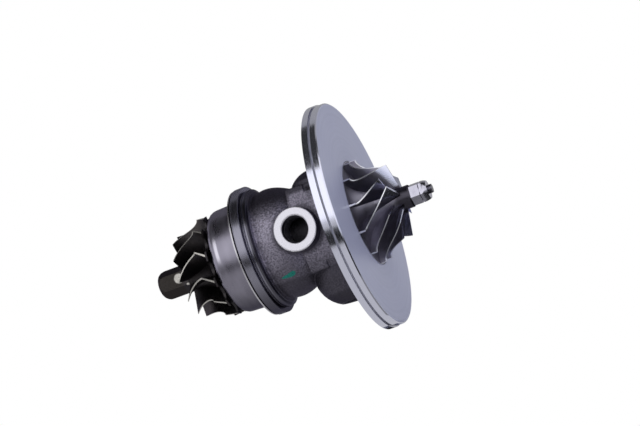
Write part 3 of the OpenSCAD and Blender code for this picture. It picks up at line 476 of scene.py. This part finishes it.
def sheet_steel():
    """Pressed satin steel, cloudy round the shaft, with a painted highlight by its front and painted shade
    towards the bottom.
    """
    finish = Finish("sheet_steel", Metallic=1.0, Anisotropic=0.4, Specular_Tint=DULL_EDGE)
    cloud = finish.noise(16 * MM, 1.5, (0.3, 1, 1))
    lines = finish.turning_marks(0.8 * MM)
    edge = finish.beyond(finish.r, SHIELD_RIM_R - SHIELD_EDGE_DROP, SOFT)
    # Painted highlight: a light band near the shield's front edge
    shield_highlight = finish.both(
        finish.window(finish.x, *SHIELD_HIGHLIGHT_X, 0.9 * MM),
        finish.window(finish.z, *SHIELD_HIGHLIGHT_Z, 6 * MM),
    )
    sheet = finish.mix(finish.step(cloud, *NARROW), (0.27, 0.257, 0.32), (0.35, 0.333, 0.41))
    sheet = finish.mix(shield_highlight, sheet, (0.7, 0.68, 0.78))
    # Painted shade: the shield darker towards the bottom
    sheet = finish.mix(finish.step(finish.z, *SHIELD_LOW_SHADE), sheet, (0.06, 0.058, 0.07))
    finish.set(
        Base_Color=finish.mix(edge, sheet, (0.62, 0.61, 0.66)),
        Roughness=finish.step(cloud, *MIDDLE, 0.26, 0.34),
        Normal=finish.bump(lines, 0.006 * MM),
        Tangent=finish.round_tangent(),
    )
    return finish.material


def balance_cuts(finish):
    """Mask of the bright patches ground on the turbine's hub beside its nose, to balance the wheel."""
    cuts = []
    for x, angle, size in BALANCE_CUTS:
        turn = math.radians(angle)
        centre = (x, -TURB_HUB_R * math.cos(turn), TURB_HUB_R * math.sin(turn))
        ends = {0: finish.place, 1: centre}
        away = finish.node("ShaderNodeVectorMath", ends, "Value", operation="DISTANCE")
        cuts.append(finish.before(away, 0.8 * size, 0.2 * size))
    return finish.either(*cuts)


def turbine_alloy():
    """Near black cast alloy with a brown bloom and ground blade edges."""
    finish = Finish("turbine_alloy", Metallic=1.0, Specular_Tint=DULL_EDGE)
    grain = finish.noise(0.7 * MM, 5.0)
    bloom = finish.noise(9 * MM, 3.0)
    tips = ellipse_edge(finish, (TURB_EYE_R, TURB_EYE_X), (TURB_RIM_R, TURB_RIM_X), 0.02)
    inlet = finish.both(
        finish.beyond(finish.r, TURB_RIM_R - TIP_DROP, FINE),
        finish.before(finish.x, TURB_DISC_X, FINE),
    )
    ground = finish.either(tips, inlet, balance_cuts(finish))
    nose = finish.before(finish.x, TURB_NOSE_X, 2 * MM)
    colour = finish.mix(finish.step(bloom, *NARROW), (0.044, 0.041, 0.046), (0.068, 0.061, 0.062))
    colour = finish.mix(nose, colour, (0.045, 0.04, 0.038))
    finish.set(
        Base_Color=finish.mix(ground, colour, (0.6, 0.58, 0.55)),
        Roughness=finish.step(grain, *MIDDLE, 0.36, 0.52),
        Normal=finish.bump(grain, 0.12 * MM),
    )
    return finish.material


def wheel_aluminium():
    """Aluminium painted a dark grey as shade, with fine milling lines, a dark nose, bright blade edges, and
    on the blades' fronts by the eye a painted highlight that is also smoother by polishing.
    """
    finish = Finish("wheel_aluminium", Metallic=1.0, Specular_Tint=DULL_EDGE)
    lines = finish.turning_marks(0.4 * MM)
    cloud = finish.noise(8 * MM, 3.0)
    tips = ellipse_edge(finish, (COMP_EYE_R, COMP_EYE_X), (COMP_RIM_R, COMP_RIM_X), 0.03)
    outlet = finish.beyond(finish.r, COMP_RIM_R - TIP_DROP, FINE)
    nose = finish.both(
        finish.beyond(finish.x, COMP_NOSE_X, 4 * MM),
        finish.before(finish.r, COMP_NOSE_R, 2 * MM),
    )
    behind = finish.math("MULTIPLY", finish.math("SUBTRACT", finish.x, COMP_EYE_X), POLISH_HIGHLIGHT_SLOPE)
    lead = finish.beyond(finish.math("ADD", finish.r, behind), POLISH_HIGHLIGHT_R, 2.5 * MM)
    polish_and_highlight = finish.both(lead, finish.outside(nose))
    # Painted shade: a grey far darker than bare aluminium, for the dark surroundings it mirrors
    colour = finish.mix(finish.step(cloud, *NARROW), (0.26, 0.25, 0.31), (0.33, 0.32, 0.39))
    # Painted highlight: the blades' fronts by the eye are painted much lighter
    colour = finish.mix(polish_and_highlight, colour, (0.79, 0.81, 0.98))
    colour = finish.mix(nose, colour, (0.085, 0.079, 0.1))
    rough = finish.step(lines, *WIDE, 0.3, 0.42)
    finish.set(
        Base_Color=finish.mix(finish.either(tips, outlet), colour, (0.92, 0.93, 1.0)),
        Roughness=finish.math("SUBTRACT", rough, finish.math("MULTIPLY", polish_and_highlight, POLISH_GAIN)),
        Normal=finish.bump(lines, 0.03 * MM),
    )
    return finish.material


def seal_rubber():
    """Matt black rubber with a fine mould grain."""
    finish = Finish("seal_rubber", Roughness=0.7)
    grain = finish.noise(0.2 * MM, 3.0)
    finish.set(
        Base_Color=finish.mix(grain, (0.012, 0.012, 0.012), (0.03, 0.03, 0.03)),
        Normal=finish.bump(grain, 0.02 * MM),
    )
    return finish.material


def plain_metal(name, dark, light, rough_range, line_w, dark_from_x=None):
    """Metal with fine turning lines and a cloudy tone, darker from dark_from_x on."""
    finish = Finish(name, Metallic=1.0)
    lines = finish.turning_marks(line_w)
    cloud = finish.noise(12 * line_w, 3.0)
    colour = finish.mix(finish.step(cloud, *NARROW), dark, light)
    if dark_from_x is not None:
        colour = finish.mix(finish.beyond(finish.x, dark_from_x, SOFT), colour, (0.15, 0.145, 0.18))
    finish.set(
        Base_Color=colour,
        Roughness=finish.step(lines, *WIDE, *rough_range),
        Normal=finish.bump(lines, 0.03 * line_w),
    )
    return finish.material


FINISHES = {
    "cast_housing": cast_housing(),
    "turned_plate": turned_plate(),
    "sheet_steel": sheet_steel(),
    "turbine_alloy": turbine_alloy(),
    "wheel_aluminium": wheel_aluminium(),
    "seal_rubber": seal_rubber(),
    **{name: plain_metal(name, *values) for name, values in PLAIN_METALS.items()},
}


def dress_nodes():
    """Gives each node its finish, and smooth shading between its sharp edges."""
    for subpart in frame["record"]["subparts"]:
        node = frame["nodes"][subpart["node"]]
        node.data.materials.clear()
        node.data.materials.append(FINISHES[subpart["material_slot"]])
        node.data.polygons.foreach_set("use_smooth", [True] * len(node.data.polygons))
        weld = node.modifiers.new("weld", "WELD")
        weld.merge_threshold = WELD_REACH
        split = node.modifiers.new("sharp_edges", "EDGE_SPLIT")
        split.split_angle = math.radians(SHARP_ANGLE)


def thread(name, body, slot, place, axis, base_r, crest_r, pitch, length):
    """A helical ridge of three sided section about an axis, from a wall radius to a crest radius."""
    steps = round(length / pitch * THREAD_STEPS)
    turn = Vector((0, 0, 1)).rotation_difference(Vector(axis)).to_matrix()
    section = ((base_r, -RIDGE_HALF_SHARE), (crest_r, 0.0), (base_r, RIDGE_HALF_SHARE))
    points = []
    for i in range(steps + 1):
        angle = 2 * math.pi * i / THREAD_STEPS
        height = pitch * i / THREAD_STEPS
        for radius, rise in section:
            spot = Vector((radius * math.cos(angle), radius * math.sin(angle), height + rise * pitch))
            points.append(Vector(place) + turn @ spot)
    faces = [(0, 1, 2), (3 * steps + 2, 3 * steps + 1, 3 * steps)]
    for i in range(0, 3 * steps, 3):
        for a, b in ((0, 1), (1, 2), (2, 0)):
            faces.append((i + a, i + 3 + a, i + 3 + b, i + b))
    mesh = bpy.data.meshes.new(name)
    mesh.from_pydata(points, [], faces)
    shape = bmesh.new()
    shape.from_mesh(mesh)
    bmesh.ops.recalc_face_normals(shape, faces=shape.faces)
    shape.to_mesh(mesh)
    shape.free()
    mesh.materials.append(FINISHES[slot])
    ridge = bpy.data.objects.new(name, mesh)
    bpy.context.collection.objects.link(ridge)
    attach(ridge, body)


def make_threads():
    """Threads of the four ports, each inside its mount's hole, and of the shaft's end."""
    for port, mouth in PORT_MOUTHS.items():
        dims = MOUNTS[port]["dims"]
        axis = Vector(MOUNTS[port]["axis"])
        hole_r = dims["r_mm"] * MM
        pitch = PORT_FINE_PITCH if hole_r < PORT_SMALL_R else PORT_PITCH
        length = min(dims["length_mm"] * MM, PORT_THREAD_MAX) - PORT_ROOM_SHARE * pitch
        start = Vector(mouth) - axis * (length + PORT_MOUTH_SHARE * pitch)
        radii = hole_r + WALL_SINK, hole_r - PORT_CREST_SHARE * pitch
        thread(port + "_thread", "housing", "cast_housing", start, axis, *radii, pitch, length)
    length = SHAFT_TIP_X - NUT_END_X - SHAFT_ROOM_SHARE * SHAFT_PITCH
    start = (NUT_END_X + SHAFT_START_SHARE * SHAFT_PITCH, 0, 0)
    radii = SHAFT_THREAD_R - WALL_SINK, SHAFT_THREAD_R + SHAFT_CREST_H
    thread("shaft_thread", "rotor", "ground_steel", start, (1, 0, 0), *radii, SHAFT_PITCH, length)


def make_camera():
    azimuth, elevation, roll = (math.radians(a) for a in (VIEW_AZIMUTH, VIEW_ELEVATION, VIEW_ROLL))
    level = math.cos(elevation)
    back = Vector((math.sin(azimuth) * level, -math.cos(azimuth) * level, math.sin(elevation)))
    right = Vector((0, 0, 1)).cross(back).normalized()
    up = back.cross(right)
    across = math.cos(roll) * right + math.sin(roll) * up
    rise = math.cos(roll) * up - math.sin(roll) * right
    aim = Vector((PLATE_FRONT_X, 0, 0))
    camera = bpy.data.objects.new("camera", bpy.data.cameras.new("camera"))
    camera.data.sensor_width = SENSOR_W
    camera.data.lens = FOCAL_PX * SENSOR_W / IMAGE_W
    turn = Matrix((across, rise, back)).transposed().to_4x4()
    place = aim + across * VIEW_RIGHT + rise * VIEW_UP + back * VIEW_DISTANCE
    camera.matrix_world = Matrix.Translation(place) @ turn
    bpy.context.collection.objects.link(camera)
    bpy.context.scene.camera = camera


def make_lamp():
    """One soft box in front of the part and above it."""
    lamp = bpy.data.lights.new("front_box", "AREA")
    lamp.shape = "RECTANGLE"
    lamp.size, lamp.size_y = LAMP_SIZE
    lamp.energy = LAMP_POWER
    box = bpy.data.objects.new("front_box", lamp)
    box.location = LAMP_PLACE
    aim = (cad_box[0] + cad_box[1]) / 2
    box.rotation_euler = (Vector(LAMP_PLACE) - aim).to_track_quat("Z", "Y").to_euler()
    box.visible_camera = False
    bpy.context.collection.objects.link(box)


def strip(name, left, right, start, end, material):
    """A four sided sheet of the stage between two X, from one point (Y, Z) to another."""
    corners = [(left, *start), (left, *end), (right, *end), (right, *start)]
    mesh = bpy.data.meshes.new(name)
    mesh.from_pydata(corners, [], [range(len(corners))])
    mesh.materials.append(material)
    made = bpy.data.objects.new(name, mesh)
    bpy.context.collection.objects.link(made)
    return made


def floor_material():
    """Pale floor that is clear from below, because the photograph's view comes from below it."""
    material = bpy.data.materials.new("floor")
    material.use_nodes = True
    tree = material.node_tree
    shader = tree.nodes["Principled BSDF"]
    shader.inputs["Base Color"].default_value = (0.86, 0.86, 0.87, 1)
    shader.inputs["Roughness"].default_value = 0.8
    shader.inputs["Specular IOR Level"].default_value = 0.0
    clear = tree.nodes.new("ShaderNodeBsdfTransparent")
    under = tree.nodes.new("ShaderNodeNewGeometry").outputs["Backfacing"]
    mix = tree.nodes.new("ShaderNodeMixShader")
    tree.links.new(under, mix.inputs[0])
    tree.links.new(shader.outputs[0], mix.inputs[1])
    tree.links.new(clear.outputs[0], mix.inputs[2])
    tree.links.new(mix.outputs[0], tree.nodes["Material Output"].inputs["Surface"])
    return material


def studio_card(name, left, right, start, end, grey):
    """A card of one grey that only reflections see, as a studio's walls and cloths do."""
    material = bpy.data.materials.new(name)
    material.use_nodes = True
    tree = material.node_tree
    glow = tree.nodes.new("ShaderNodeEmission")
    glow.inputs["Color"].default_value = (grey, grey, grey, 1)
    tree.links.new(glow.outputs[0], tree.nodes["Material Output"].inputs["Surface"])
    card = strip(name, left, right, start, end, material)
    card.visible_camera = False
    card.visible_diffuse = False
    card.visible_shadow = False


def make_stage():
    """The floor, facing up, and the cards that the part mirrors."""
    far, near = (FLOOR_REACH, GROUND_Z), (-FLOOR_REACH, GROUND_Z)
    strip("floor", -FLOOR_REACH, FLOOR_REACH, far, near, floor_material())
    for (name, grey), start, end in zip(STUDIO_CARDS, STUDIO_SECTION, STUDIO_SECTION[1:]):
        studio_card(name, STUDIO_LEFT, STUDIO_RIGHT, start, end, grey)
    for layer, (name, left, (far_y, near_y), grey) in enumerate(TABLE_CARDS, start=1):
        z = GROUND_Z + layer * TABLE_CARD_GAP
        studio_card(name, left, TABLE_RIGHT, (far_y, z), (near_y, z), grey)


def make_world():
    """White where the camera and reflections see it, softer as light on the object."""
    world = bpy.data.worlds.new("studio")
    world.use_nodes = True
    bpy.context.scene.world = world
    tree = world.node_tree
    fill = tree.nodes["Background"]
    fill.inputs["Color"].default_value = WORLD_FILL
    fill.inputs["Strength"].default_value = WORLD_FILL_STRENGTH
    white = tree.nodes.new("ShaderNodeBackground")
    white.inputs["Color"].default_value = (1, 1, 1, 1)
    rays = tree.nodes.new("ShaderNodeLightPath")
    seen = rays.outputs["Is Camera Ray"]
    for kind in ("Is Glossy Ray", "Is Transmission Ray"):
        wider = tree.nodes.new("ShaderNodeMath")
        wider.operation = "MAXIMUM"
        tree.links.new(seen, wider.inputs[0])
        tree.links.new(rays.outputs[kind], wider.inputs[1])
        seen = wider.outputs[0]
    mix = tree.nodes.new("ShaderNodeMixShader")
    tree.links.new(seen, mix.inputs[0])
    tree.links.new(fill.outputs[0], mix.inputs[1])
    tree.links.new(white.outputs[0], mix.inputs[2])
    tree.links.new(mix.outputs[0], tree.nodes["World Output"].inputs["Surface"])


dress_nodes()
make_threads()
make_camera()
make_lamp()
make_stage()
make_world()
bpy.context.scene.view_settings.view_transform = "Standard"
